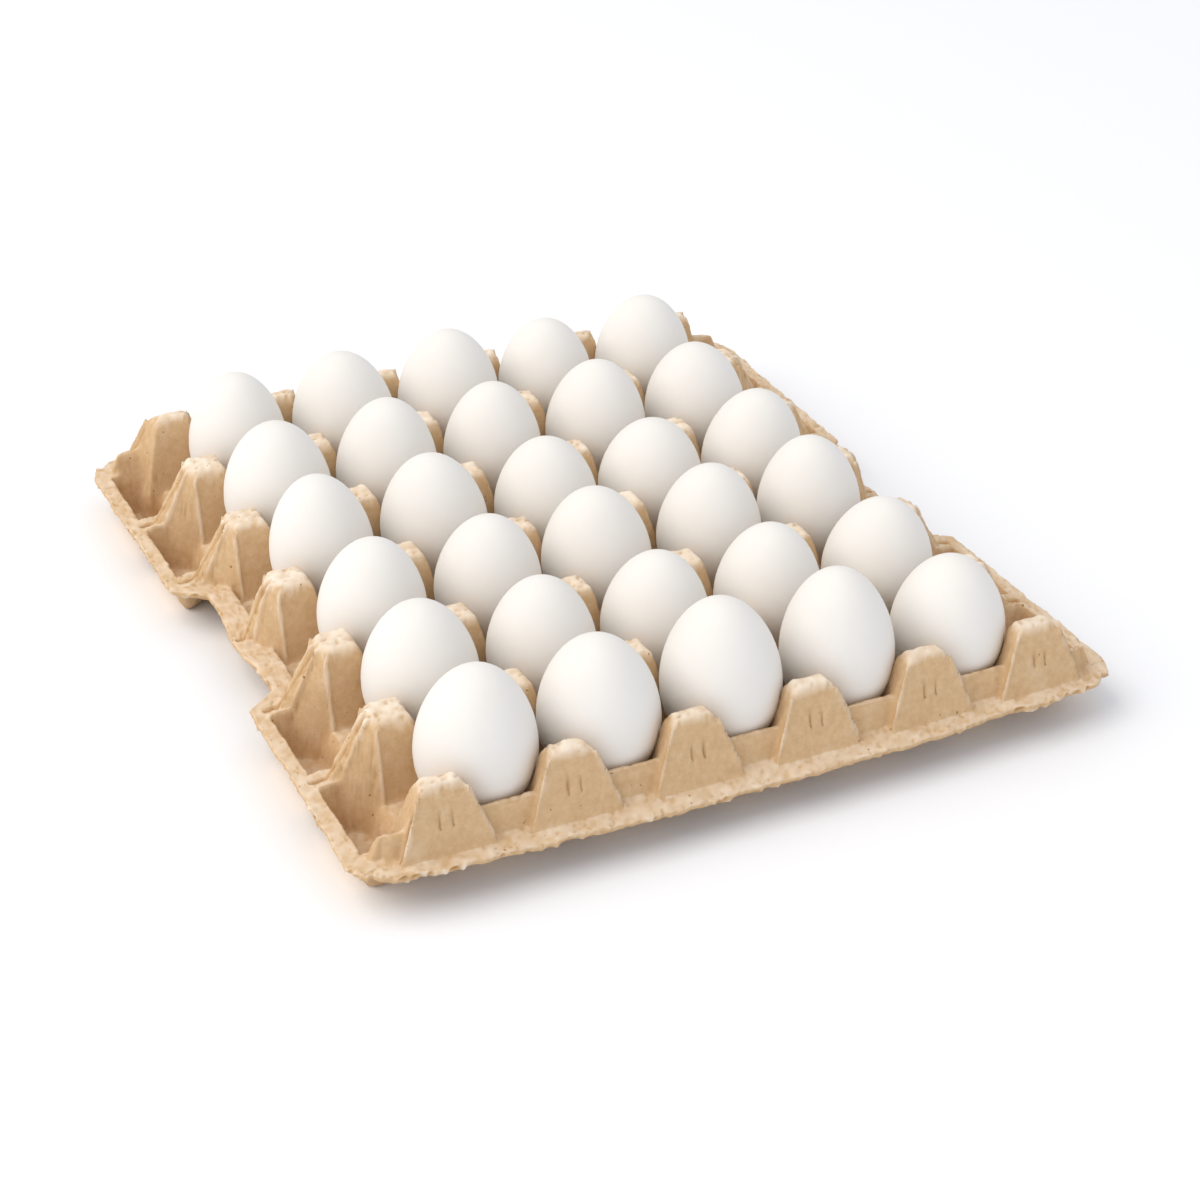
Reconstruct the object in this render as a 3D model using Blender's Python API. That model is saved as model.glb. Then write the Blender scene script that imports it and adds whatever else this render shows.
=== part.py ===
# A moulded pulp tray for thirty eggs, filled, standing on the feet of its cups.
# X runs along the rows of five, Y along the rows of six, +Z is up.
# The origin is the bottom centre. Lengths named here are in millimetres.
import bpy
import numpy as np
from mathutils import Quaternion

MM = 0.001

PITCH = 47.0            # from egg to egg
COLUMNS = 5             # eggs along X
ROWS = 6                # eggs along Y
HALF_X = 152.0          # centre to the flange's edge, at the widest
HALF_Y = 155.5
SIDE_BOW = 2.0          # the long sides draw in towards their middle
END_BOW = 2.5           # and the short sides towards their ends
WALL = 2.0              # thickness of the pulp
RIM = 1.2               # and at the flange's torn edge

POST_TOP = 42.0
CAP_HALF = 6.8          # half the width of a post's flat cap
CAP_FLARE = 0.9         # how much wider the cap is at the end posts' outer faces
CAP_INNER = 5.9         # the same half width on the posts between eggs
POST_SLOPE = 3.8        # rise over run of a post's sides
FRONT_SLOPE = 3.13      # the same for the flat outer faces of the end posts
FLARE_SLOPE = 2.56      # the same for the side edges of those faces
FLARE_RUN = 7.0         # run over which the sides turn into those edges
FLANGE = 18.5
FLANGE_FALL = 0.3       # the flange droops outwards in the middle of the short sides
SIDE_FALL = 0.05
SADDLE = 13.0           # low ridge between two cups
SADDLE_HALF = 8.0
CUP_SLOPE = 2.4
FLOOR = 2.0             # inside of a cup's foot

END_WALL = 28.0         # low wall that closes the end rows
END_WALL_HALF = 1.5
END_WALL_OUT = 4.75
END_WALL_IN = 3.5
END_SHELF = 5.0         # from the end posts to where the flange begins to fall
END_DROP = 1.5          # how much lower that wall is beside the corner posts
END_SHOULDER = 23.5     # where it begins to come down to the corner
SHOULDER_SLOPE = 2.3

POCKET_OUT = 27.0       # from the outer posts to the outer wall of a side pocket
POCKET_SLOPE = 4.0
DIVIDER = 19.0          # wall between two side pockets
DIVIDER_HALF = 4.5
DIVIDER_DROP = 0.5      # from the divider's top down to the flange
RIB_RUN = 11.4          # run of the rib from the cap down to the divider
RIB_FALL = 23.0
RIB_HALF = 2.5          # half the rib's width at the cap
RIB_WIDENS = 2.0
TWIST_OUT = 6.2         # the twisted face beside a rib: how far its front edge runs out
TWIST_TOP = 4.3         # its width at the cap
TWIST_WIDENS = 4.2
LEDGE_IN = 10.5         # inner edge of the ledge at the finger notch
LEDGE_SLOPE = 3.0
NOTCH_DEPTH = 12.0
NOTCH_HALF = 35.0
NOTCH_EASE = 9.0
NOTCH_BULGE = 3.0       # the notch's edge comes back out in the middle
NOTCH_BULGE_HALF = 22.0
CORNER_X = 16.0         # reach of the rounding at the tray's corners
CORNER_Y = 18.0
CORNER_POWER = 1.7      # 2 is an ellipse, 1 is a straight cut

EGG_BOTTOM = 9.0        # the eggs hang in their cups, above the feet
EGG_BLUNT = 0.12        # how much fuller the lower end is
EGG_GAP = 1.3           # room left round an egg in its cup
EGG_SIDES = 14
EGG_BANDS = 5
EGG_FULL = 1.014        # makes up for what the flat facets cut off
LEAN_TOWARDS = -25.0    # compass angle of the leans and shifts below, from +X

# The eggs differ as real ones do. One line is a row of five, from -X to +X, and the first row is at -Y.
WIDTHS = (
    (43.0, 43.5, 43.5, 41.5, 42.0),
    (42.5, 40.5, 40.5, 40.5, 42.0),
    (41.0, 41.0, 42.5, 41.0, 41.0),
    (40.5, 42.5, 41.5, 42.5, 41.0),
    (43.5, 41.5, 40.5, 42.0, 42.5),
    (40.5, 43.5, 43.5, 41.0, 42.0),
)
LENGTHS = (
    (57.5, 57.0, 60.0, 60.5, 54.0),
    (55.5, 53.5, 52.5, 53.0, 53.0),
    (55.0, 53.5, 54.5, 54.0, 56.0),
    (57.0, 55.5, 52.5, 50.5, 54.0),
    (56.5, 57.0, 54.5, 55.0, 53.5),
    (56.0, 56.0, 57.0, 53.0, 55.0),
)
LEANS = (               # degrees
    (1, -4, -4, -4, -1),
    (-1, -1, 1, 0, 3),
    (2, 1, -4, 0, -3),
    (-4, -4, -1, 1, 4),
    (-1, 1, 0, 1, -3),
    (0, -3, 0, -1, 0),
)
SHIFTS = (
    (-0.5, -1.0, 0.0, 0.5, 1.0),
    (-0.5, 0.0, -0.5, 0.0, 1.0),
    (0.5, 0.5, -1.0, 1.0, -1.0),
    (-1.0, -1.0, 0.5, 0.5, 0.5),
    (-1.0, -1.0, -1.0, -0.5, -0.5),
    (-1.0, -1.0, 0.0, -1.0, -0.5),
)

OUTER_X = PITCH * COLUMNS / 2
OUTER_Y = PITCH * ROWS / 2


def clamp(a):
    return np.clip(a, 0.0, 1.0)


def eggRadius(t, width):
    """Radius where t runs from -1 at the bottom to 1 at the top."""
    full = np.sqrt(np.clip(1 - t * t, 0, 1)) * (1 - EGG_BLUNT * t)
    widest = 1 + EGG_BLUNT ** 2 / 2
    return full * width / 2 / widest


def eggPlace(i, j):
    """Centre of an egg in column i and row j, seen from above."""
    shift = np.array(SHIFTS)[j, i]
    x = (i + 0.5 - COLUMNS / 2) * PITCH + shift * np.cos(np.radians(LEAN_TOWARDS))
    y = (j + 0.5 - ROWS / 2) * PITCH + shift * np.sin(np.radians(LEAN_TOWARDS))
    return x, y


def eggBowl(x, y):
    """Height of the hollow that the nearest egg leaves, with room round it."""
    i = np.clip(np.floor(x / PITCH + COLUMNS / 2), 0, COLUMNS - 1).astype(int)
    j = np.clip(np.floor(y / PITCH + ROWS / 2), 0, ROWS - 1).astype(int)
    eggX, eggY = eggPlace(i, j)
    reach = np.array(WIDTHS)[j, i] / 2 + EGG_GAP
    share = np.hypot(x - eggX, y - eggY) / reach
    t = np.linspace(-1, -0.12, 80)
    height = np.interp(share, eggRadius(t, 2.0), t)
    height = EGG_BOTTOM - EGG_GAP + np.array(LENGTHS)[j, i] / 2 * (1 + height)
    return np.where(share < 1, height, 1000.0)


def twistedFace(w, v):
    """Height of the face between a side rib and the post's front edge, found by halving."""
    low = np.zeros_like(w)
    high = np.full_like(w, 1.9)
    for _ in range(26):
        t = (low + high) / 2
        run = RIB_RUN * t + 1e-6
        edge = CAP_HALF + TWIST_OUT * t - (w - CAP_HALF) / run * (TWIST_TOP + TWIST_WIDENS * t)
        inside = v < edge
        high = np.where(inside, t, high)
        low = np.where(inside, low, t)
    return POST_TOP - (POST_TOP - FLANGE) * (low + high) / 2


def topHeight(x, y):
    """Height of the upper side of the pulp."""
    column = np.clip(np.round(x / PITCH + COLUMNS / 2), 0, COLUMNS)
    row = np.clip(np.round(y / PITCH + ROWS / 2), 0, ROWS)
    u = np.abs(x - (column - COLUMNS / 2) * PITCH)
    v = np.abs(y - (row - ROWS / 2) * PITCH)
    w = np.abs(x) - OUTER_X
    q = np.abs(y) - OUTER_Y
    endRow = (row == 0) | (row == ROWS)
    sideColumn = (column == 0) | (column == COLUMNS)
    cap = np.where(endRow | sideColumn, CAP_HALF, CAP_INNER)

    flare = np.where(endRow, clamp((q + FLARE_RUN) / FLARE_RUN), 0)
    slopeU = POST_SLOPE + (FLARE_SLOPE - POST_SLOPE) * flare
    sideU = POST_TOP - slopeU * np.maximum(0, u - cap - CAP_FLARE * flare)
    sideV = POST_TOP - POST_SLOPE * np.maximum(0, v - cap)
    sideV = np.where(endRow & (q > 0), POST_TOP - FRONT_SLOPE * np.maximum(0, q), sideV)
    post = np.minimum(sideU, sideV)

    rib = POST_TOP - RIB_FALL / RIB_RUN * np.maximum(0, w - CAP_HALF)
    ribHalf = RIB_HALF + RIB_WIDENS * clamp((w - CAP_HALF) / RIB_RUN)
    rib = rib - POCKET_SLOPE * np.maximum(0, v - ribHalf)
    side = np.where(w > CAP_HALF + 0.01, np.maximum(rib, twistedFace(w, v)), sideV)
    post = np.where(sideColumn & (w > 0) & ~endRow, np.minimum(side, POST_TOP), post)

    near = np.where(w > 0, w, np.minimum(u, np.where(q > 0, q, v)))
    cups = np.maximum(FLOOR, SADDLE - CUP_SLOPE * np.maximum(0, near - SADDLE_HALF))
    height = np.maximum(post, cups)

    outerWall = FLANGE - POCKET_SLOPE * np.maximum(0, POCKET_OUT - w)
    outerWall = outerWall - SIDE_FALL * np.maximum(0, w - POCKET_OUT)
    divider = DIVIDER - POCKET_SLOPE * np.maximum(0, v - DIVIDER_HALF)
    divider = np.minimum(divider, DIVIDER - DIVIDER_DROP * clamp((w - POCKET_OUT + 3) / 3))
    divider = divider - SIDE_FALL * np.maximum(0, w - POCKET_OUT)
    ledge = FLANGE - LEDGE_SLOPE * np.maximum(0, LEDGE_IN - w)
    ledge = ledge - POCKET_SLOPE * np.maximum(0, np.abs(y) - PITCH)
    ledge = ledge - SIDE_FALL * np.maximum(0, w - POCKET_OUT)
    margin = np.maximum(np.maximum(outerWall, divider), ledge)
    height = np.where(w > 0, np.maximum(height, margin), height)

    endWall = END_WALL - END_WALL_OUT * np.maximum(0, q - END_WALL_HALF)
    endWall = endWall - END_WALL_IN * np.maximum(0, -END_WALL_HALF - q)
    endWall = endWall - END_DROP * clamp((w - CAP_HALF) / RIB_RUN)
    endWall = endWall - SHOULDER_SLOPE * np.maximum(0, w - END_SHOULDER)
    fall = SIDE_FALL + (FLANGE_FALL - SIDE_FALL) * clamp(1 - (x / HALF_X) ** 2)
    flange = FLANGE - fall * np.maximum(0, q - END_SHELF)
    flange = flange - SIDE_FALL * np.maximum(0, w - POCKET_OUT)
    height = np.maximum(height, endWall)
    height = np.where(q > 0, np.maximum(np.maximum(post, endWall), flange), height)

    return np.maximum(FLOOR, np.minimum(height, eggBowl(x, y)))


def underHeight(x, y):
    """Height of the lower side, a wall's thickness in from the upper side in every direction."""
    under = topHeight(x, y) - WALL
    for ring in (0.35, 0.7, 0.9, 0.98, 1.0):
        drop = WALL * np.sqrt(1 - ring * ring)
        for angle in np.arange(24) * np.pi / 12:
            dx = WALL * ring * np.cos(angle)
            dy = WALL * ring * np.sin(angle)
            under = np.minimum(under, topHeight(x + dx, y + dy) - drop)
    return np.maximum(under, 0.0)


def gridLines(half, count, outside, post):
    """Lines of the mesh along one axis: through the margins, the posts and the cups."""
    lines = [half + a for a in outside]
    for k in range(count):
        centre = half - k * PITCH
        lines += [centre - a for a in post]
        lines += [centre - PITCH / 2]
        lines += [centre - PITCH + a for a in reversed(post)]
    lines = lines + [-half - a for a in reversed(outside)]
    return np.array(sorted(lines))


def shaped(x, y):
    """Moves the lines so that they follow the flared faces, the ribs and the dividers."""
    w = np.abs(x) - OUTER_X
    q = np.abs(y) - OUTER_Y
    column = np.clip(np.round(x / PITCH + COLUMNS / 2), 0, COLUMNS)
    row = np.clip(np.round(y / PITCH + ROWS / 2), 0, ROWS)
    px = x - (column - COLUMNS / 2) * PITCH
    py = y - (row - ROWS / 2) * PITCH
    u = np.abs(px)
    v = np.abs(py)
    spread = clamp(q / 7.5) * np.where(u < 8, 9.4, np.where(u < 12, 8.0, 5.5))
    spread = np.where((u > 1) & (u < 16) & (w < 20), spread, 0) * clamp((20 - w) / 6)
    inner = (np.maximum(w, q) < -9) & (u > 1) & (v > 1) & (u < 11) & (v < 11)
    inner = np.where(inner, CAP_HALF - CAP_INNER, 0)
    newX = x + np.sign(px) * (spread - np.where(u < 8, inner, 0))
    shrink = clamp((w - CAP_HALF) / RIB_RUN) * np.where(v < 8, 2.3, 2.0)
    shrink = np.where((v > 1) & (v < 12) & (w > 0) & (q < -9), shrink, 0)
    newY = y - np.sign(py) * (shrink + np.where(v < 8, inner, 0))
    return newX, newY


def outlined(x, y):
    """Bows the tray's sides, cuts the finger notches and rounds the corners by moving points."""
    w = np.abs(x) - OUTER_X
    q = np.abs(y) - OUTER_Y
    side = clamp((w - POCKET_OUT) / (HALF_X - OUTER_X - POCKET_OUT))
    end = clamp((q - END_SHELF) / (HALF_Y - OUTER_Y - END_SHELF))
    bowX = SIDE_BOW * side * (1 - (y / HALF_Y) ** 2)
    bowY = END_BOW * end * (x / HALF_X) ** 2
    x = x - np.sign(x) * bowX
    y = y - np.sign(y) * bowY
    depth = NOTCH_DEPTH * clamp((NOTCH_HALF + NOTCH_EASE - np.abs(y)) / NOTCH_EASE)
    depth = depth - NOTCH_BULGE * clamp(1 - np.abs(y) / NOTCH_BULGE_HALF)
    still = LEDGE_IN + 1.5
    share = clamp((w - still) / (HALF_X - OUTER_X - still))
    x = x - np.sign(x) * share * np.maximum(depth, 0)
    startX = HALF_X - CORNER_X
    startY = HALF_Y - CORNER_Y
    a = np.maximum(0, (np.abs(x) - startX) / CORNER_X)
    b = np.maximum(0, (np.abs(y) - startY) / CORNER_Y)
    reach = (a ** CORNER_POWER + b ** CORNER_POWER) ** (1 / CORNER_POWER)
    scale = np.maximum(a, b) / np.maximum(reach, 1e-9)
    newX = np.where((a > 0) & (b > 0), np.sign(x) * (startX + a * scale * CORNER_X), x)
    newY = np.where((a > 0) & (b > 0), np.sign(y) * (startY + b * scale * CORNER_Y), y)
    return newX, newY


def sheetPoints(linesX, linesY, heightOf):
    x, y = np.meshgrid(linesX, linesY, indexing="ij")
    x, y = shaped(x, y)
    z = heightOf(x, y)
    x, y = outlined(x, y)
    return np.stack([x, y, z], axis=-1)


def quadFaces(points, first, flip):
    """Two triangles a square, cut along the diagonal that keeps posts ridged and cups hollow."""
    z = points[..., 2]
    nx, ny = z.shape
    faces = []
    for i in range(nx - 1):
        for j in range(ny - 1):
            a = first + i * ny + j
            b = a + ny
            c = b + 1
            d = a + 1
            if abs(z[i, j] - z[i + 1, j + 1]) < abs(z[i + 1, j] - z[i, j + 1]):
                pair = ((a, b, c), (a, c, d))
            else:
                pair = ((a, b, d), (b, c, d))
            faces += [f[::-1] if flip else f for f in pair]
    return faces


def ring(nx, ny, first):
    """The points round the edge of a sheet, in order."""
    loop = [first + i * ny for i in range(nx)]
    loop += [first + (nx - 1) * ny + j for j in range(1, ny)]
    loop += [first + i * ny + ny - 1 for i in range(nx - 2, -1, -1)]
    loop += [first + j for j in range(ny - 2, 0, -1)]
    return loop


def addObject(name, points, faces, material, smooth, carton):
    mesh = bpy.data.meshes.new(name)
    mesh.from_pydata([tuple(p * MM) for p in points], [], faces)
    mesh.polygons.foreach_set("use_smooth", [smooth] * len(mesh.polygons))
    mesh.materials.append(material)
    mesh.update()
    made = bpy.data.objects.new(name, mesh)
    made.parent = carton
    bpy.context.scene.collection.objects.link(made)
    return made


def plainMaterial(name, colour, roughness):
    material = bpy.data.materials.new(name)
    material.use_nodes = True
    shader = material.node_tree.nodes["Principled BSDF"]
    shader.inputs["Base Color"].default_value = (*colour, 1)
    shader.inputs["Roughness"].default_value = roughness
    material.diffuse_color = (*colour, 1)
    return material


def buildTray(carton):
    margin = HALF_X - OUTER_X
    end = HALF_Y - OUTER_Y
    topX = gridLines(OUTER_X, COLUMNS, (margin, POCKET_OUT, 23, 18.2, 12.5, CAP_HALF), (CAP_HALF, 10.3, 14.3))
    topY = gridLines(OUTER_Y, ROWS, (end, 7.5, 3.5, 1.5), (1.5, CAP_HALF, 10.3, 14.3))
    topY = np.array(dropInner(topY))
    lowX = gridLines(OUTER_X, COLUMNS, (margin, 29, 25, 18.2, 13.5, 4.9), (4.9, 8.4, 12.8))
    lowY = gridLines(OUTER_Y, ROWS, (end, 5.6, 1.8, 0.2), (2.2, 4.9, 8.4, 12.8))
    lowY = np.array(dropInner(lowY))
    upper = sheetPoints(topX, topY, topHeight)
    lower = sheetPoints(lowX, lowY, underHeight)
    nx, ny = upper.shape[:2]
    count = nx * ny
    points = np.concatenate([upper.reshape(-1, 3), lower.reshape(-1, 3)])
    above = ring(nx, ny, 0)
    for a in above:
        points[count + a, :2] = points[a, :2]
        points[count + a, 2] = points[a, 2] - RIM
    faces = quadFaces(upper, 0, False) + quadFaces(lower, count, True)
    for a, b in zip(above, above[1:] + above[:1]):
        faces += [(b, a, count + a), (b, count + a, count + b)]
    pulp = plainMaterial("mouldedPulp", (0.62, 0.44, 0.27), 0.9)
    addObject("tray", points, faces, pulp, False, carton)


def dropInner(lines):
    """The line just inside an end wall is only wanted in the two end rows."""
    keep = []
    for line in lines:
        row = np.round(line / PITCH)
        offset = abs(line - row * PITCH)
        inner = abs(line) < OUTER_Y - PITCH / 2
        if not (inner and offset < 3):
            keep.append(line)
    return keep


def buildEgg(name, width, length, material, carton):
    """One egg about its own centre, blunt end down. Every second ring is turned by half a side."""
    points = [(0, 0, -length / 2)]
    for band in range(EGG_BANDS):
        t = -np.cos((band + 1) * np.pi / (EGG_BANDS + 1))
        r = eggRadius(t, width) * EGG_FULL
        for k in range(EGG_SIDES):
            angle = 2 * np.pi * (k + 0.5 * (band % 2)) / EGG_SIDES
            points.append((r * np.cos(angle), r * np.sin(angle), t * length / 2))
    points.append((0, 0, length / 2))
    faces = []
    last = len(points) - 1
    top = last - EGG_SIDES
    for k in range(EGG_SIDES):
        n = (k + 1) % EGG_SIDES
        faces.append((0, 1 + n, 1 + k))
        for band in range(EGG_BANDS - 1):
            a = 1 + band * EGG_SIDES
            b = a + EGG_SIDES
            if band % 2 == 0:
                faces += [(a + k, a + n, b + k), (a + n, b + n, b + k)]
            else:
                faces += [(a + k, a + n, b + n), (a + k, b + n, b + k)]
        faces.append((top + k, top + n, last))
    return addObject(name, np.array(points, float), faces, material, True, carton)


def main():
    for obj in list(bpy.data.objects):
        bpy.data.objects.remove(obj)
    carton = bpy.data.objects.new("carton", None)
    bpy.context.scene.collection.objects.link(carton)
    buildTray(carton)
    shell = plainMaterial("eggshell", (0.85, 0.83, 0.80), 0.55)
    towards = np.radians(LEAN_TOWARDS)
    axis = (-np.sin(towards), np.cos(towards), 0)
    for j in range(ROWS):
        for i in range(COLUMNS):
            egg = buildEgg(f"egg_{j + 1}_{i + 1}", WIDTHS[j][i], LENGTHS[j][i], shell, carton)
            x, y = eggPlace(i, j)
            egg.location = (x * MM, y * MM, (EGG_BOTTOM + LENGTHS[j][i] / 2) * MM)
            egg.rotation_euler = Quaternion(axis, np.radians(LEANS[j][i])).to_euler()


main()
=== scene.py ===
import math
from types import SimpleNamespace

import bpy
import numpy as np
from mathutils import Matrix, Vector, noise


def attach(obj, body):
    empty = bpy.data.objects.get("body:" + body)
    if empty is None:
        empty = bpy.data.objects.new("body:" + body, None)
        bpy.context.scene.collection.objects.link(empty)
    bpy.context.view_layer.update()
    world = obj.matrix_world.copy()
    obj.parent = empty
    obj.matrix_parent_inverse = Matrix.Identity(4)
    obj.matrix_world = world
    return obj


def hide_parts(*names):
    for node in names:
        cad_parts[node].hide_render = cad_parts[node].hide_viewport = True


# A moulded pulp tray with thirty white eggs. Lengths below are in millimetres.
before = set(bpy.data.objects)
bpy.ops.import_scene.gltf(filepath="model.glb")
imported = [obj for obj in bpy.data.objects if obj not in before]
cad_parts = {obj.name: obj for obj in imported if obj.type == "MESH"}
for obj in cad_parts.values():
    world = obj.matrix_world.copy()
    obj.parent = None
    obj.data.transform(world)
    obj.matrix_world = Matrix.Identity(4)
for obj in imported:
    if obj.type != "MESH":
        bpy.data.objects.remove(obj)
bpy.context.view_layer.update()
mm = 0.001

# The camera is a real lens seen as a plain picture of 1200 x 1200, shifted as the photo is cropped.
cameraSettings = {
    "azimuth": -24.81,
    "elevation": 31.86,
    "roll": 0.53,
    "distance": 907.6,
    "target": (-54.1, -28.3, 42.0),
    "lens": 73.4,
    "shiftX": 0.104,
    "shiftY": -0.0205,
}

traySettings = {
    "pitch": 47.0,
    "columns": 5,
    "rows": 6,
    "halfX": 152.0,
    "halfY": 155.5,
    "sideBow": 2.0,
    "endBow": 2.5,
    "wall": 2.0,
    "postTop": 42.0,
    "capHalf": 6.8,
    "capFlare": 0.9,
    "capInner": 5.9,
    "postSlope": 3.8,
    "frontSlope": 3.13,
    "flareSlope": 2.56,
    "flareRun": 7.0,
    "flange": 18.5,
    "flangeFall": 0.3,
    "sideFall": 0.05,
    "saddle": 13.0,
    "saddleHalf": 8.0,
    "cupSlope": 2.4,
    "floor": 2.0,
    "endWall": 28.0,
    "endWallHalf": 1.5,
    "endWallOut": 4.75,
    "endWallIn": 3.5,
    "endShelf": 5.0,
    "endDrop": 1.5,
    "endShoulder": 23.5,
    "shoulderSlope": 2.3,
    "pocketOut": 27.0,
    "pocketSlope": 4.0,
    "divider": 19.0,
    "dividerHalf": 4.5,
    "dividerDrop": 0.5,
    "dividerEase": 3.0,
    "ribRun": 11.4,
    "ribFall": 23.0,
    "ribHalf": 2.5,
    "ribWidens": 2.0,
    "twistOut": 6.2,        # the twisted face beside each rib leans further out as it falls
    "twistTop": 4.3,
    "twistWidens": 4.2,
    "twistMost": 1.9,
    "twistHalvings": 22,
    "ledgeIn": 10.5,
    "ledgeSlope": 3.0,
    "notchDepth": 12.0,
    "notchHalf": 35.0,
    "notchEase": 9.0,
    "notchBulge": 3.0,
    "notchBulgeHalf": 22.0,
    "notchStill": 1.5,
    "cornerX": 16.0,
    "cornerY": 18.0,
    "cornerPower": 1.7,
    "softening": 0.6,       # radius over which the mould rounds each edge
    "capSoftening": 2.2,
    "innerStart": 8.0,      # how far inside the outer posts the inner ones begin
    "innerEase": 4.0,
    "capRounds": (4.0, 3.0),    # how far below a cap's top a change starts, and over what height
    "capRough": (5.0, 3.0),
    "capWorn": (3.5, 2.0),
    "ribLine": 2.3,
    "ribLineIn": 0.7,
    "ribLineOnTop": 0.35,
    "ribEase": 2.0,
    "grooveDepth": 2.7,     # the line pressed along each rib
    "grooveHalf": 0.65,
    "edge": 2.4,            # raised seams where the mould's faces meet
    "edgeHalf": 0.75,
    "edgeGroove": 3.4,
    "edgeGrooveBack": 1.7,
    "edgeGrooveHalf": 0.6,
    "edgeFade": 3.0,
    "edgeFrom": 0.2,
    "markClear": 0.5,       # marks stop this far above the flange
    "ridge": 2.9,
    "ridgeHalf": 0.75,
    "ridgeOut": 0.1,
    "ridgeEase": 1.2,
    "strokeDepth": 2.9,     # plain strokes pressed into the end posts
    "strokeHalf": 0.55,
    "strokeApart": 2.35,
    "strokeStart": 2.4,
    "strokeEnd": 4.6,
    "strokeEase": 0.5,
    "lump": 0.30,           # relief of the pulp, as it dries
    "lumpSize": 9.0,
    "grain": 0.34,
    "grainSize": 2.4,
    "grainShares": (0.35, 0.65, 0.5),   # how strong it is everywhere, where rough and on the caps
    "pit": 0.42,
    "pitShares": (0.2, 0.8, 0.8),
    "pitSize": 1.5,
    "pitCluster": 3.9,
    "pitClusterShare": 0.45,
    "pitFrom": 0.26,
    "pitEase": 0.35,
    "levelFrom": 0.55,      # faces that lie flatter than this are rough
    "levelEase": 0.3,
    "pressedFrom": 5.0,     # and so are the pockets down both long sides
    "pressedEase": 5.0,
    "pressedEnd": 2.0,
    "pressedEndEase": 3.0,
    "tornDepth": 2.6,       # how far the torn edge wanders inwards
    "tornBand": 7.0,
    "tornMiddle": 0.40,
    "tornWaves": ((0.45, 15.0, 20), (0.34, 5.5, 30)),   # each wave's share, length and seed
    "tornFray": (0.34, 2.1, 40),
    "tornFrayPatches": (0.35, 1.6, 11.0),
    "tornSideShare": 0.6,
    "tornLift": ((0.7, 8.0, 60), (0.25, 2.6, 70)),
    "lipLayers": ((0.45, 0.9), (0.0, 1.9)),     # how far out and down each torn layer lies
    "lipRough": 1.1,
    "lipGrain": 2.3,
    "lipPatches": (0.25, 2.2, 11.0),
    "lipIn": 0.9,
    "lipDrop": 2.7,
    "capLight": 0.5,        # painted light and shade: how much lighter the caps, the faces that lie level, raised seams and reaching lip layers are coloured, and how much darker grooves and sunk lip layers; the pulp is really lighter near the torn edge
    "tornLight": 0.1,
    "tornLightBand": 6.0,
    "levelLight": 0.42,
    "markLight": 0.2,
    "lipLight": 2.0,
    "lipDark": 0.1,
    "seed": 7,
    "cell": 4,              # fine steps in the widest cell of the mesh
    "pitchSteps": 80,
    "sideSteps": 60,
    "endSteps": 24,
    "hiddenInside": 2.5,    # how far in from an egg's side nothing shows
    "outerBand": 9.0,
    "lowBelow": 34.0,
    "coarseError": 0.34,
    "fineError": 0.225,
    "seamShows": 0.45,
}

eggSettings = {
    "blunt": 0.12,          # how much fuller the lower end is
    "facetFill": 1.0068,    # what the solid's middle ring measures for each unit of width
    "sides": 48,
    "bands": 30,
    "gap": 0.25,            # room between the shell and the pulp
    "bowlTop": -0.12,       # how far up the egg its bowl reaches, from -1 at the foot to 0
    "bowlSteps": 80,
}


def hexToLinear(code):
    values = [int(code[i:i + 2], 16) / 255 for i in (1, 3, 5)]
    linear = [v / 12.92 if v <= 0.04045 else ((v + 0.055) / 1.055) ** 2.4 for v in values]
    return (*linear, 1.0)


def addNode(tree, kind, settings=None, links=None):
    node = tree.nodes.new(kind)
    for name, value in (settings or {}).items():
        if name in node.inputs:
            node.inputs[name].default_value = value
        else:
            setattr(node, name, value)
    for name, socket in (links or {}).items():
        tree.links.new(socket, node.inputs[name])
    return node


def clamp(a):
    return np.clip(a, 0.0, 1.0)


def bell(distance, half):
    return np.exp(-(distance / half) ** 2)


# Eggs: each takes its axis, length and width from the solid that it replaces
def readEgg(name):
    points = np.array([v.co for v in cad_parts[name].data.vertices], float) / mm
    low = points[points[:, 2].argmin()]
    high = points[points[:, 2].argmax()]
    axis = (high - low) / np.linalg.norm(high - low)
    away = points - low
    radius = np.linalg.norm(away - np.outer(away @ axis, axis), axis=1).max()
    return SimpleNamespace(
        name=name, low=low, axis=axis, length=np.linalg.norm(high - low),
        width=2 * radius / eggSettings["facetFill"], centre=(low + high) / 2)


def eggRadius(t, width):
    blunt = eggSettings["blunt"]
    full = np.sqrt(np.clip(1 - t * t, 0, 1)) * (1 - blunt * t)
    return full * width / 2 / (1 + blunt ** 2 / 2)


form = SimpleNamespace(**traySettings)
outerX = form.pitch * form.columns / 2
outerY = form.pitch * form.rows / 2
eggs = [[readEgg(f"egg_{j + 1}_{i + 1}") for i in range(form.columns)] for j in range(form.rows)]
eggTable = np.array([[(*e.centre[:2], e.width, e.length, e.low[2]) for e in row] for row in eggs])
farAbove = 1000.0
upward = np.array([0, 0, 1])


# Upper side of the pulp, as a height over each point
def eggBowl(x, y):
    i = np.clip(np.floor(x / form.pitch + form.columns / 2), 0, form.columns - 1).astype(int)
    j = np.clip(np.floor(y / form.pitch + form.rows / 2), 0, form.rows - 1).astype(int)
    eggX, eggY, width, length, low = np.moveaxis(eggTable[j, i], -1, 0)
    share = np.hypot(x - eggX, y - eggY) / (width / 2 + eggSettings["gap"])
    t = np.linspace(-1, eggSettings["bowlTop"], eggSettings["bowlSteps"])
    height = low - eggSettings["gap"] + length / 2 * (1 + np.interp(share, eggRadius(t, 2.0), t))
    return np.where(share < 1, height, farAbove)


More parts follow.
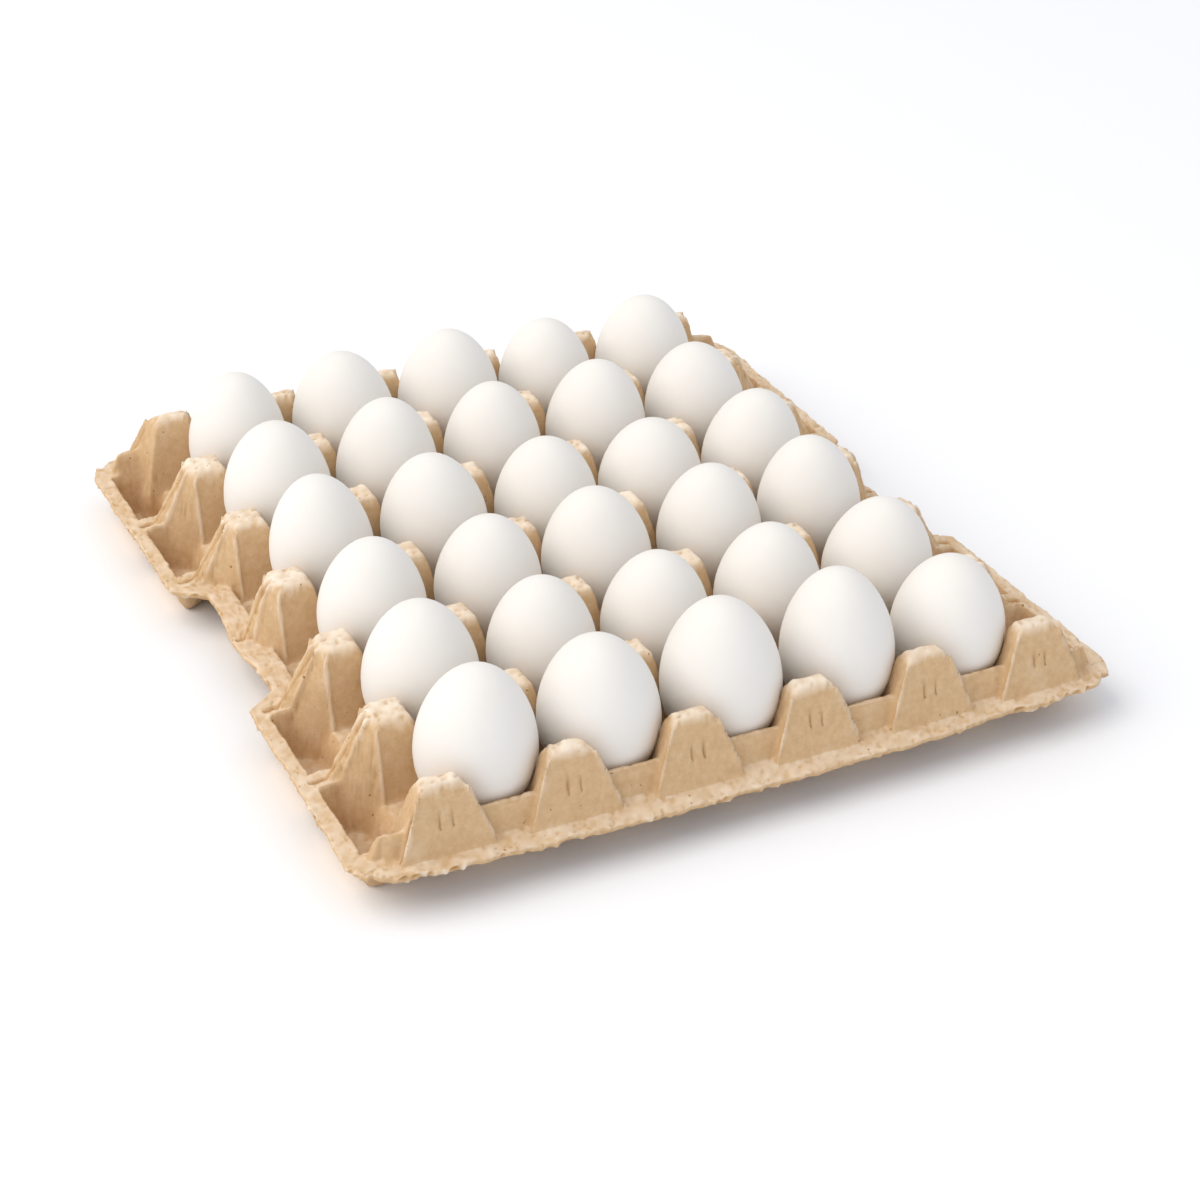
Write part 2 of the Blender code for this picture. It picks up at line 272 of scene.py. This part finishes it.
def nearest(x, y):
    # Where each point lies from its nearest post and from the outer rows of posts
    f = form
    column = np.clip(np.round(x / f.pitch + f.columns / 2), 0, f.columns)
    row = np.clip(np.round(y / f.pitch + f.rows / 2), 0, f.rows)
    p = SimpleNamespace(
        u=np.abs(x - (column - f.columns / 2) * f.pitch),
        v=np.abs(y - (row - f.rows / 2) * f.pitch),
        w=np.abs(x) - outerX,
        q=np.abs(y) - outerY,
        endRow=(row == 0) | (row == f.rows),
        sideColumn=(column == 0) | (column == f.columns))
    p.cap = np.where(p.endRow | p.sideColumn, f.capHalf, f.capInner)
    p.flare = np.where(p.endRow, clamp((p.q + f.flareRun) / f.flareRun), 0)
    slope = f.postSlope + (f.flareSlope - f.postSlope) * p.flare
    p.sideU = f.postTop - slope * np.maximum(0, p.u - p.cap - f.capFlare * p.flare)
    p.face = f.postTop - f.frontSlope * np.maximum(0, p.q)
    p.down = clamp((p.w - f.capHalf) / f.ribRun)
    p.ribHalf = f.ribHalf + f.ribWidens * p.down
    return p


def twistedFace(w, v):
    # The face is found by halving, as the height at which its edge passes the point
    f = form
    low = np.zeros_like(w)
    high = np.full_like(w, f.twistMost)
    for _ in range(f.twistHalvings):
        t = (low + high) / 2
        run = f.ribRun * t + 1e-6
        edge = f.capHalf + f.twistOut * t
        edge = edge - (w - f.capHalf) / run * (f.twistTop + f.twistWidens * t)
        inside = v < edge
        high = np.where(inside, t, high)
        low = np.where(inside, low, t)
    return f.postTop - (f.postTop - f.flange) * (low + high) / 2


def postHeight(p):
    f = form
    sideV = f.postTop - f.postSlope * np.maximum(0, p.v - p.cap)
    sideV = np.where(p.endRow & (p.q > 0), p.face, sideV)
    rib = f.postTop - f.ribFall / f.ribRun * np.maximum(0, p.w - f.capHalf)
    rib = rib - f.pocketSlope * np.maximum(0, p.v - p.ribHalf)
    side = np.where(p.w > f.capHalf + 0.01, np.maximum(rib, twistedFace(p.w, p.v)), sideV)
    onSide = p.sideColumn & (p.w > 0) & ~p.endRow
    return np.where(onSide, np.minimum(side, f.postTop), np.minimum(p.sideU, sideV))


def marginHeight(p, y):
    # Beyond the side posts: the outer wall, the dividers between pockets and the ledge at the notch
    f = form
    beyond = np.maximum(0, p.w - f.pocketOut)
    outerWall = f.flange - f.pocketSlope * np.maximum(0, f.pocketOut - p.w) - f.sideFall * beyond
    divider = f.divider - f.pocketSlope * np.maximum(0, p.v - f.dividerHalf)
    lowest = f.divider - f.dividerDrop * clamp((p.w - f.pocketOut + f.dividerEase) / f.dividerEase)
    divider = np.minimum(divider, lowest) - f.sideFall * beyond
    ledge = f.flange - f.ledgeSlope * np.maximum(0, f.ledgeIn - p.w)
    ledge = ledge - f.pocketSlope * np.maximum(0, np.abs(y) - f.pitch) - f.sideFall * beyond
    return np.maximum(np.maximum(outerWall, divider), ledge)


def endHeights(p, x):
    # The low wall along each end and the flange beyond it
    f = form
    wall = f.endWall - f.endWallOut * np.maximum(0, p.q - f.endWallHalf)
    wall = wall - f.endWallIn * np.maximum(0, -f.endWallHalf - p.q)
    wall = wall - f.endDrop * p.down
    wall = wall - f.shoulderSlope * np.maximum(0, p.w - f.endShoulder)
    fall = f.sideFall + (f.flangeFall - f.sideFall) * clamp(1 - (x / f.halfX) ** 2)
    beyond = np.maximum(0, p.w - f.pocketOut)
    flange = f.flange - fall * np.maximum(0, p.q - f.endShelf) - f.sideFall * beyond
    return wall, flange


def topHeight(x, y):
    f = form
    p = nearest(x, y)
    post = postHeight(p)
    near = np.where(p.w > 0, p.w, np.minimum(p.u, np.where(p.q > 0, p.q, p.v)))
    cups = np.maximum(f.floor, f.saddle - f.cupSlope * np.maximum(0, near - f.saddleHalf))
    height = np.maximum(post, cups)
    height = np.where(p.w > 0, np.maximum(height, marginHeight(p, y)), height)
    wall, flange = endHeights(p, x)
    height = np.maximum(height, wall)
    height = np.where(p.q > 0, np.maximum(np.maximum(post, wall), flange), height)
    return np.maximum(f.floor, np.minimum(height, eggBowl(x, y)))


def nearTop(z, band):
    below, ease = band
    return clamp((z - form.postTop + below) / ease)


def softHeight(x, y):
    # The mould has no sharp edge, so each height is a mean over a small disc
    f = form
    height = topHeight(x, y)
    inside = clamp((outerX - f.innerStart - np.abs(x)) / f.innerEase)
    inside = inside * clamp((outerY - f.innerStart - np.abs(y)) / f.innerEase)
    rounded = np.maximum(inside, nearTop(height, f.capRounds))
    wide = f.softening + (f.capSoftening - f.softening) * rounded
    weight = 2.0
    total = weight * height
    for ring, count, share in ((0.5, 6, 1.0), (1.0, 8, 0.55)):
        for k in range(count):
            angle = 2 * math.pi * (k + ring) / count
            reach = ring * wide
            total = total + share * topHeight(x + reach * math.cos(angle), y + reach * math.sin(angle))
            weight += share
    return total / weight


def seams(x, y):
    # What the mould's joints and marks leave on the posts: raised seams, grooves and plain strokes
    f = form
    p = nearest(x, y)
    front = p.endRow & (np.minimum(p.face, p.sideU) > f.flange + f.markClear)
    past = (p.sideU - p.face) / f.frontSlope
    corner = p.sideColumn & (p.w > 0)
    groove = np.where(corner, bell(past + f.edgeGrooveBack, f.edgeGrooveHalf), 0)
    fade = clamp((f.postTop - p.sideU) / f.edgeFade) * clamp((p.face - f.flange) / f.edgeFade)
    fade = fade * clamp(p.q - f.edgeFrom)
    stroke = bell(p.u - f.strokeApart, f.strokeHalf)
    stroke = stroke * clamp((p.q - f.strokeStart) / f.strokeEase)
    stroke = stroke * clamp((f.strokeEnd - p.q) / f.strokeEase)
    change = fade * (f.edge * bell(past, f.edgeHalf) - f.edgeGroove * groove) - f.strokeDepth * stroke
    change = np.where(front, change, 0)

    # Down each side post run the seam beside its flat face and the two lines of its rib
    side = p.sideColumn & ~p.endRow & (p.w > 0)
    falls = f.postTop - f.postSlope * np.maximum(0, p.v - f.capHalf) > f.saddle + 1
    flat = bell(p.w - f.capHalf - f.ridgeOut, f.ridgeHalf)
    flat = flat * clamp((p.v - f.capHalf) / f.ridgeEase) * falls
    along = clamp((p.w - f.capHalf) / f.ribEase) * clamp((f.pocketOut + f.ribEase - p.w) / f.ribEase)
    lines = bell(p.v - p.ribHalf + f.ribLineIn, f.ridgeHalf) * f.ribLine
    lines = np.where(p.w > f.capHalf + f.ribRun, lines * f.ribLineOnTop, lines)
    groove = bell(p.v, f.grooveHalf) * f.grooveDepth
    return change + np.where(side, f.ridge * flat + along * (lines - groove), 0)


def underHeight(x, y):
    # The lower side keeps one wall's thickness from the upper one in every direction
    wall = form.wall
    under = topHeight(x, y) - wall
    for ring in (0.5, 0.85, 1.0):
        drop = wall * math.sqrt(1 - ring * ring)
        for k in range(16):
            dx = wall * ring * math.cos(k * math.pi / 8)
            dy = wall * ring * math.sin(k * math.pi / 8)
            under = np.minimum(under, topHeight(x + dx, y + dy) - drop)
    return np.maximum(under, 0.0)


def outlined(x, y):
    # The square lattice is bowed in at its sides, cut back at the notches and rounded at its corners
    f = form
    w = np.abs(x) - outerX
    q = np.abs(y) - outerY
    side = clamp((w - f.pocketOut) / (f.halfX - outerX - f.pocketOut))
    end = clamp((q - f.endShelf) / (f.halfY - outerY - f.endShelf))
    bowX = f.sideBow * side * (1 - (y / f.halfY) ** 2)
    bowY = f.endBow * end * (x / f.halfX) ** 2
    x = x - np.sign(x) * bowX
    y = y - np.sign(y) * bowY
    depth = f.notchDepth * clamp((f.notchHalf + f.notchEase - np.abs(y)) / f.notchEase)
    depth = depth - f.notchBulge * clamp(1 - np.abs(y) / f.notchBulgeHalf)
    still = f.ledgeIn + f.notchStill
    share = clamp((w - still) / (f.halfX - outerX - still))
    x = x - np.sign(x) * share * np.maximum(depth, 0)
    startX = f.halfX - f.cornerX
    startY = f.halfY - f.cornerY
    a = np.maximum(0, (np.abs(x) - startX) / f.cornerX)
    b = np.maximum(0, (np.abs(y) - startY) / f.cornerY)
    reach = (a ** f.cornerPower + b ** f.cornerPower) ** (1 / f.cornerPower)
    scale = np.maximum(a, b) / np.maximum(reach, 1e-9)
    both = (a > 0) & (b > 0)
    newX = np.where(both, np.sign(x) * (startX + a * scale * f.cornerX), x)
    newY = np.where(both, np.sign(y) * (startY + b * scale * f.cornerY), y)
    return newX, newY


def noiseAt(points, size, offset=0.0):
    seed = Vector((form.seed, offset, -form.seed))
    return np.array([noise.noise(Vector(p) / size + seed) for p in points])


def patches(points, shares, offset):
    base, gain, size = shares
    return clamp(base + gain * noiseAt(points, size, offset))


def lattice(half, count, outside, outsideSteps):
    inner = np.linspace(-half, half, count * form.pitchSteps + 1)
    outer = np.linspace(half, outside, outsideSteps + 1)[1:]
    return np.concatenate([-outer[::-1], inner, outer])


def relief(sheet, offset):
    # Bumps stand out along the surface's own direction, so that steep faces get them too
    f = form
    normal = np.cross(np.gradient(sheet, axis=0), np.gradient(sheet, axis=1))
    normal /= np.linalg.norm(normal, axis=-1, keepdims=True)
    flat = sheet.reshape(-1, 3)
    pits = noiseAt(flat, f.pitSize, offset + 9)
    pits = pits + f.pitClusterShare * noiseAt(flat, f.pitCluster, offset + 12)
    pits = clamp((pits - f.pitFrom) / f.pitEase)
    level = clamp((normal[..., 2].ravel() - f.levelFrom) / f.levelEase)
    pressed = clamp((np.abs(flat[:, 0]) - outerX - f.pressedFrom) / f.pressedEase)
    pressed = pressed * clamp((outerY + f.pressedEnd - np.abs(flat[:, 1])) / f.pressedEndEase)
    rough = np.maximum(level, pressed)
    capped = nearTop(flat[:, 2], f.capRough)
    height = f.lump * noiseAt(flat, f.lumpSize, offset)
    always, onRough, onCaps = f.grainShares
    grain = f.grain * noiseAt(flat, f.grainSize, offset + 5)
    height += grain * (always + onRough * rough + onCaps * capped)
    always, onRough, onCaps = f.pitShares
    height -= f.pit * pits * (always + onRough * rough + onCaps * capped)
    height = height.reshape(sheet.shape[:2])
    return sheet + normal * height[..., None], height, level.reshape(height.shape)


def tear(sheet, x, y):
    # The torn edge wanders in and out, more the nearer a point is to it
    f = form
    flat = np.stack([x, y, np.zeros_like(x)], axis=-1).reshape(-1, 3)
    wander = f.tornMiddle + sum(share * noiseAt(flat, size, seed) for share, size, seed in f.tornWaves)
    share, size, seed = f.tornFray
    wander += share * patches(flat, f.tornFrayPatches, 90) * noiseAt(flat, size, seed)
    wander = clamp(wander.reshape(x.shape)) * f.tornDepth
    lift = sum(share * noiseAt(flat, size, seed) for share, size, seed in f.tornLift)
    lift = lift.reshape(x.shape)
    shareX = clamp(1 - (f.halfX - np.abs(x)) / f.tornBand)
    shareY = clamp(1 - (f.halfY - np.abs(y)) / f.tornBand)
    sheet = sheet.copy()
    sheet[..., 0] -= np.sign(x) * wander * shareX * f.tornSideShare
    sheet[..., 1] -= np.sign(y) * wander * shareY
    sheet[..., 2] += lift * np.maximum(shareX, shareY) ** 2
    return sheet


def splitError(z, size):
    # How far the surface leaves a flat cell of this size, measured across the surface
    corner = z[::size, ::size]
    low, high = corner[:-1, :-1], corner[1:, 1:]
    left, right = corner[:-1, 1:], corner[1:, :-1]
    step = size * form.pitch / form.pitchSteps
    half = size // 2
    middle = z[half::size, half::size][:low.shape[0], :low.shape[1]]
    error = np.abs(middle - (low + high + left + right) / 4)
    for a, b, first, second in ((half, 0, low, right), (0, half, low, left)):
        edge = z[a::size, b::size][:low.shape[0], :low.shape[1]]
        error = np.maximum(error, np.abs(edge - (first + second) / 2))
    slope = (z[size::size, ::size][:, :-1] - corner[:-1, :-1]) / step
    slope2 = (z[::size, size::size][:-1] - corner[:-1, :-1]) / step
    return error / np.sqrt(1 + slope ** 2 + slope2 ** 2)


def spreadCells(flags, factor):
    return np.repeat(np.repeat(flags, factor, axis=0), factor, axis=1)


def onRim(flags):
    flags = flags.copy()
    flags[[0, -1]] = flags[:, [0, -1]] = True
    return flags


def cellLevels(z, hidden, seam):
    # A cell has four, two or one fine steps: hidden cells stay wide, curved and torn ones are split
    size = form.cell
    wide = splitError(z, size) > form.coarseError
    seen = ~hidden[size // 2::size, size // 2::size]
    split = onRim(seen | wide)
    half = size // 2
    curved = splitError(z, half) > form.fineError
    shown = ~hidden[half // 2::half, half // 2::half][:curved.shape[0], :curved.shape[1]]
    rows, columns = curved.shape
    marked = np.zeros_like(curved)
    for a in range(half):
        for b in range(half):
            marked |= seam[a::half, b::half][:rows, :columns]
    finest = spreadCells(split, 2) & (onRim(curved & shown) | marked)
    return split, finest


def cellFaces(split, finest, count):
    # Fine neighbours leave points on a wide cell's sides, and such a cell is a fan round its middle
    size = form.cell
    half = size // 2
    cells = []
    for i, j in zip(*np.nonzero(~split)):
        cells.append((i * size, j * size, size))
    for i, j in zip(*np.nonzero(spreadCells(split, 2) & ~finest)):
        cells.append((i * half, j * half, half))
    for i, j in zip(*np.nonzero(finest)):
        cells += [(i * half + a, j * half + b, 1) for a in range(half) for b in range(half)]
    used = np.zeros(count, bool)
    for i, j, s in cells:
        used[i, j] = used[i + s, j] = used[i + s, j + s] = used[i, j + s] = True
    faces = []
    for i, j, s in cells:
        if s == 1:
            faces.append(((i, j), (i + 1, j), (i + 1, j + 1), (i, j + 1)))
            continue
        ring = [(i + k, j) for k in range(s)] + [(i + s, j + k) for k in range(s)]
        ring += [(i + s - k, j + s) for k in range(s)] + [(i, j + s - k) for k in range(s)]
        ring = [p for p in ring if used[p]]
        if len(ring) == 4:
            faces.append(tuple(ring))
            continue
        middle = (i + s // 2, j + s // 2)
        used[middle] = True
        faces += [(ring[k], ring[(k + 1) % len(ring)], middle) for k in range(len(ring))]
    return faces, used


def border(nx, ny, step):
    loop = [(i, 0) for i in range(0, nx - 1, step)]
    loop += [(nx - 1, j) for j in range(0, ny - 1, step)]
    loop += [(i, ny - 1) for i in range(nx - 1, 0, -step)]
    loop += [(0, j) for j in range(ny - 1, 0, -step)]
    return loop


def hiddenByEggs(x, y, z):
    # Under an egg, and low down between the inner posts, nothing shows
    f = form
    i = np.clip(np.floor(x / f.pitch + f.columns / 2), 0, f.columns - 1).astype(int)
    j = np.clip(np.floor(y / f.pitch + f.rows / 2), 0, f.rows - 1).astype(int)
    eggX, eggY, width = np.moveaxis(eggTable[j, i], -1, 0)[:3]
    covered = np.hypot(x - eggX, y - eggY) < width / 2 - f.hiddenInside
    outside = (np.abs(x) > outerX - f.outerBand) | (np.abs(y) > outerY - f.outerBand)
    return covered | ((z < f.lowBelow) & ~outside)


def lowerSheet(x, y):
    newX, newY = outlined(x, y)
    lower = relief(np.stack([newX, newY, underHeight(x, y)], axis=-1), 50.0)[0]
    lower[..., 2] = np.maximum(lower[..., 2], 0)
    return lower


def outwardAt(ring, x, y):
    lastX, lastY = x.shape[0] - 1, x.shape[1] - 1
    return np.array([(np.sign(x[p]) * (p[0] in (0, lastX)), np.sign(y[p]) * (p[1] in (0, lastY)), 0)
                     for p in ring])


def lowerFaces(under):
    first = under[:-1, :-1].ravel()
    row = under.shape[1]
    corners = np.stack([first, first + 1, first + row + 1, first + row], axis=1)
    return [tuple(face) for face in corners.tolist()]


def tornLip(edge, outward):
    # Round the edge, the sheet ends in a torn lip of two uneven layers
    f = form
    layers, uneven = [], []
    for k, (out, drop) in enumerate(f.lipLayers):
        ragged = patches(edge, f.lipPatches, 95 + k) * noiseAt(edge, f.lipGrain, 80 + 3 * k)
        reach = (out + f.lipRough * ragged)[:, None]
        layers.append(edge + outward * reach - upward * (drop * (1 + ragged))[:, None])
        uneven.append(ragged)
    return layers, np.concatenate(uneven)


def lipFaces(above, start, layers):
    count = len(above)
    faces = []
    for k in range(layers):
        below = [start + k * count + n for n in range(count)]
        for n in range(count):
            after = (n + 1) % count
            faces.append((below[n], below[after], above[after], above[n]))
        above = below
    return faces, above


def closingFaces(ring, above, under, loop):
    # Each wide step round the lower sheet meets the fine steps of the lip above it
    cell = form.cell
    count = len(ring)
    corners = {p: k for k, p in enumerate(ring) if p[0] % cell == 0 and p[1] % cell == 0}
    faces = []
    for p, n in zip(loop, loop[1:] + loop[:1]):
        lowP, lowN = (int(under[c[0] // cell, c[1] // cell]) for c in (p, n))
        end = corners[n] or count
        faces += [(above[(k + 1) % count], above[k], lowP) for k in range(corners[p], end)]
        faces.append((lowN, above[end % count], lowP))
    return faces


def paintedShadingAndTornEdgeAt(x, y, z, dents, marks, level):
    # Painted light and shade: pits, grooves and strokes are coloured darker, and bumps, raised seams,
    # the caps and the faces that lie level lighter; near the torn edge the pulp is lighter, as torn
    # pulp is
    f = form
    torn = np.maximum(np.abs(x) - f.halfX, np.abs(y) - f.halfY)
    torn = clamp((torn + f.tornLightBand) / f.tornLightBand)
    light = f.capLight * nearTop(z, f.capWorn) + f.tornLight * torn + f.levelLight * level
    return dents + f.markLight * marks + light


def buildTray(material):
    f = form
    linesX = lattice(outerX, f.columns, f.halfX, f.sideSteps)
    linesY = lattice(outerY, f.rows, f.halfY, f.endSteps)
    x, y = np.meshgrid(linesX, linesY, indexing="ij")
    marks = seams(x, y)
    z = softHeight(x, y) + marks
    newX, newY = outlined(x, y)
    rough, dents, level = relief(np.stack([newX, newY, z], axis=-1), 0.0)
    upper = tear(rough, x, y)
    split, finest = cellLevels(z, hiddenByEggs(x, y, z), np.abs(marks) > f.seamShows)
    faces, used = cellFaces(split, finest, x.shape)
    index = np.full(x.shape, -1)
    index[used] = np.arange(used.sum())
    made = [tuple(int(index[p]) for p in face) for face in faces]

    lower = lowerSheet(x[::f.cell, ::f.cell], y[::f.cell, ::f.cell])
    first = int(used.sum())
    under = first + np.arange(lower[..., 0].size).reshape(lower.shape[:2])
    made += lowerFaces(under)

    ring = [p for p in border(*x.shape, 1) if used[p]]
    outward = outwardAt(ring, x, y)
    layers, uneven = tornLip(np.array([upper[p] for p in ring]), outward)
    start = first + under.size
    faces, above = lipFaces([int(index[p]) for p in ring], start, len(layers))
    made += faces
    loop = border(*x.shape, f.cell)
    made += closingFaces(ring, above, under, loop)
    outwardOf = dict(zip(ring, outward))
    for p in loop:
        lower[p[0] // f.cell, p[1] // f.cell] = upper[p] - outwardOf[p] * f.lipIn - upward * f.lipDrop
    points = np.concatenate([upper[used], lower.reshape(-1, 3), *layers])
    tray = addObject("pulpTray", points, made, material)

    # Painted light and shade for each point, with the real lightening near the torn edge
    paintedShadingAndTornEdge = np.zeros(len(tray.data.vertices), np.float32)
    paintedShadingAndTornEdge[:first] = paintedShadingAndTornEdgeAt(x, y, z, dents, marks, level)[used]
    # Painted light and shade on the torn lip: lighter where a layer reaches out, darker where it sinks
    # back
    paintedShadingAndTornEdge[start:] = f.lipLight * uneven - f.lipDark
    tray.data.attributes.new("paintedShadingAndTornEdge", "FLOAT", "POINT").data.foreach_set("value", paintedShadingAndTornEdge)
    return tray


def addObject(name, points, faces, material):
    mesh = bpy.data.meshes.new(name)
    mesh.from_pydata((np.asarray(points) * mm).tolist(), [], faces)
    mesh.shade_smooth()
    mesh.materials.append(material)
    mesh.update()
    made = bpy.data.objects.new(name, mesh)
    bpy.context.scene.collection.objects.link(made)
    return made


def buildEgg(egg, material):
    sides, bands = eggSettings["sides"], eggSettings["bands"]
    t = -np.cos(np.linspace(0, np.pi, bands + 1))[1:-1]
    angle = 2 * np.pi * np.arange(sides) / sides
    radius = eggRadius(t, egg.width)
    rings = np.stack([np.outer(radius, np.cos(angle)), np.outer(radius, np.sin(angle)),
                      np.outer(t * egg.length / 2, np.ones(sides))], axis=-1)
    points = np.concatenate(
        [[(0, 0, -egg.length / 2)], rings.reshape(-1, 3), [(0, 0, egg.length / 2)]])
    turn = np.array(Vector((0, 0, 1)).rotation_difference(Vector(egg.axis)).to_matrix())
    points = points @ turn.T + egg.centre
    faces = []
    last = len(points) - 1
    top = last - sides
    for k in range(sides):
        n = (k + 1) % sides
        faces += [(0, 1 + n, 1 + k), (top + k, top + n, last)]
        rows = [1 + b * sides for b in range(bands - 1)]
        faces += [(row + k, row + n, above + n, above + k) for row, above in zip(rows, rows[1:])]
    return addObject("shell_" + egg.name, points, faces, material)


# Moulded recycled pulp: matt, warm tan and mottled, with painted shade darkening its pits and grooves,
# painted light on its caps, level faces, seams and bumps, and lighter near the torn edge
pulpSettings = {
    "light": "#dabb93",
    "dark": "#cda97e",
    # painted light colour, also that of the lighter torn edge
    "tornAndPaintedLight": "#f8e9d5",
    # painted shade: the colour that pits, grooves and sunk lip layers are darkened towards
    "pit": "#b48a58",
    "fleck": "#9f7544",
    "roughness": 0.9,
    "specular": 0.25,
    "mottle": 2.8,
    "fibre": 0.9,
    "fleckSize": 2.2,
    "mottleRange": (0.32, 0.68),
    "tornAndPaintedLightRange": (0.1, 1.2),
    "pitRange": (-0.1, -0.9),
    "fleckRange": (0.76, 0.80),
    "bump": 0.5,
    "bumpDepth": 0.5,
}


def noiseOf(tree, place, size, **settings):
    # A noise texture whose features are of a size given in millimetres
    inputs = {"Scale": 1 / (size * mm), **settings}
    return addNode(tree, "ShaderNodeTexNoise", inputs, {"Vector": place}).outputs["Fac"]


def rangeOf(tree, value, ends):
    # 0 at the first end and 1 at the second
    inputs = {"From Min": ends[0], "From Max": ends[1]}
    return addNode(tree, "ShaderNodeMapRange", inputs, {"Value": value}).outputs["Result"]


def blended(tree, factor, first, second):
    # Each colour is a hex code, or the socket of a colour made before
    node = addNode(tree, "ShaderNodeMix", {"data_type": "RGBA"}, {"Factor": factor})
    for place, colour in ((6, first), (7, second)):
        if isinstance(colour, str):
            node.inputs[place].default_value = hexToLinear(colour)
        else:
            tree.links.new(colour, node.inputs[place])
    return node.outputs[2]


def addBump(tree, shader, height, strength, depth):
    inputs = {"Strength": strength, "Distance": depth * mm}
    bump = addNode(tree, "ShaderNodeBump", inputs, {"Height": height})
    tree.links.new(bump.outputs["Normal"], shader.inputs["Normal"])


def startMaterial(name, settings):
    material = bpy.data.materials.new(name)
    material.use_nodes = True
    tree = material.node_tree
    shader = tree.nodes["Principled BSDF"]
    shader.inputs["Roughness"].default_value = settings["roughness"]
    shader.inputs["Specular IOR Level"].default_value = settings["specular"]
    return material, tree, shader


def mouldedPulp():
    s = pulpSettings
    material, tree, shader = startMaterial("mouldedRecycledPulp", s)
    place = addNode(tree, "ShaderNodeTexCoord").outputs["Object"]
    mottle = noiseOf(tree, place, s["mottle"], Detail=6.0, Roughness=0.7)
    fibre = noiseOf(tree, place, s["fibre"], Detail=4.0, Roughness=0.75, Distortion=1.2)
    flecks = noiseOf(tree, place, s["fleckSize"], Detail=1.0)
    # Painted light and shade, with the lighter torn edge, as worked out for each point of the tray
    paintedShadingAndTornEdge = addNode(tree, "ShaderNodeAttribute", {"attribute_name": "paintedShadingAndTornEdge"}).outputs["Fac"]
    colour = blended(tree, rangeOf(tree, mottle, s["mottleRange"]), s["light"], s["dark"])
    for value, name in ((paintedShadingAndTornEdge, "tornAndPaintedLight"), (paintedShadingAndTornEdge, "pit"), (flecks, "fleck")):
        colour = blended(tree, rangeOf(tree, value, s[name + "Range"]), colour, s[name])
    tree.links.new(colour, shader.inputs["Base Color"])
    addBump(tree, shader, fibre, s["bump"], s["bumpDepth"])
    return material


# Hen's eggshell: chalky white, faintly pored, with a soft sheen
shellSettings = {
    "light": "#f0ede8",
    "dark": "#ece8e2",
    "roughness": 0.62,
    "specular": 0.2,
    "cloud": 14.0,
    "pore": 0.6,
    "bump": 0.08,
    "bumpDepth": 0.1,
}


def chalkyEggshell():
    s = shellSettings
    material, tree, shader = startMaterial("chalkyEggshell", s)
    place = addNode(tree, "ShaderNodeTexCoord").outputs["Object"]
    cloud = noiseOf(tree, place, s["cloud"], Detail=3.0)
    pore = noiseOf(tree, place, s["pore"], Detail=2.0)
    tree.links.new(blended(tree, cloud, s["light"], s["dark"]), shader.inputs["Base Color"])
    addBump(tree, shader, pore, s["bump"], s["bumpDepth"])
    return material


stageSettings = {
    "floor": "#fafbfd",
    "floorHalf": 6000,
    "roughness": 0.9,
    "specular": 0.1,
    "world": "#f1f5fc",
    "worldStrength": 0.79,
    "keyColour": "#fff6ea",
    "keyPower": 71.0,
    "keySize": 3.0,
    "keyPlace": (-2100, 350, 2500),
    "fillColour": "#ffffff",
    "fillSize": 2.0,
    "fillPower": 3.2,
    "fillPlace": (900, -2000, 700),
}


def buildStage():
    s = stageSettings
    half = s["floorHalf"]
    corners = [(-half, -half, 0), (half, -half, 0), (half, half, 0), (-half, half, 0)]
    material, _, shader = startMaterial("palePaperSweep", s)
    shader.inputs["Base Color"].default_value = hexToLinear(s["floor"])
    floor = addObject("floor", corners, [(0, 1, 2, 3)], material)
    world = bpy.data.worlds.new("studio")
    world.use_nodes = True
    world.node_tree.nodes["Background"].inputs["Color"].default_value = hexToLinear(s["world"])
    world.node_tree.nodes["Background"].inputs["Strength"].default_value = s["worldStrength"]
    bpy.context.scene.world = world
    bpy.context.scene.view_settings.view_transform = "Standard"
    for name in ("key", "fill"):
        light = bpy.data.lights.new(name, "AREA")
        light.energy = s[name + "Power"]
        light.color = hexToLinear(s[name + "Colour"])[:3]
        light.size = s[name + "Size"]
        lamp = bpy.data.objects.new(name, light)
        lamp.location = Vector(s[name + "Place"]) * mm
        lamp.rotation_mode = "QUATERNION"
        lamp.rotation_quaternion = (-lamp.location).to_track_quat("-Z", "Y")
        bpy.context.scene.collection.objects.link(lamp)


def buildCamera():
    view = cameraSettings
    a, e, roll = (math.radians(view[k]) for k in ("azimuth", "elevation", "roll"))
    back = Vector((math.sin(a) * math.cos(e), -math.cos(a) * math.cos(e), math.sin(e)))
    right = (-back).cross(Vector((0, 0, 1))).normalized()
    up = right.cross(-back)
    c, s = math.cos(roll), math.sin(roll)
    right, up = right * c + up * s, up * c - right * s
    data = bpy.data.cameras.new("camera")
    data.sensor_width = 36
    data.lens = view["lens"]
    data.shift_x = view["shiftX"]
    data.shift_y = view["shiftY"]
    data.clip_end = 100
    camera = bpy.data.objects.new("camera", data)
    turn = Matrix((right, up, back)).transposed().to_4x4()
    place = Vector(view["target"]) + back * view["distance"]
    camera.matrix_world = Matrix.Translation(place * mm) @ turn
    bpy.context.scene.collection.objects.link(camera)
    bpy.context.scene.camera = camera


buildCamera()
buildStage()
print("camera and stage ready")

pulp = mouldedPulp()
shell = chalkyEggshell()
print("materials ready")

tray = buildTray(pulp)
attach(tray, "root")
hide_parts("tray")
tray.data.calc_loop_triangles()
print("tray ready:", len(tray.data.loop_triangles), "triangles")

for row in eggs:
    for egg in row:
        piece = buildEgg(egg, shell)
        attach(piece, "root")
        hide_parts(egg.name)
print("eggs ready")
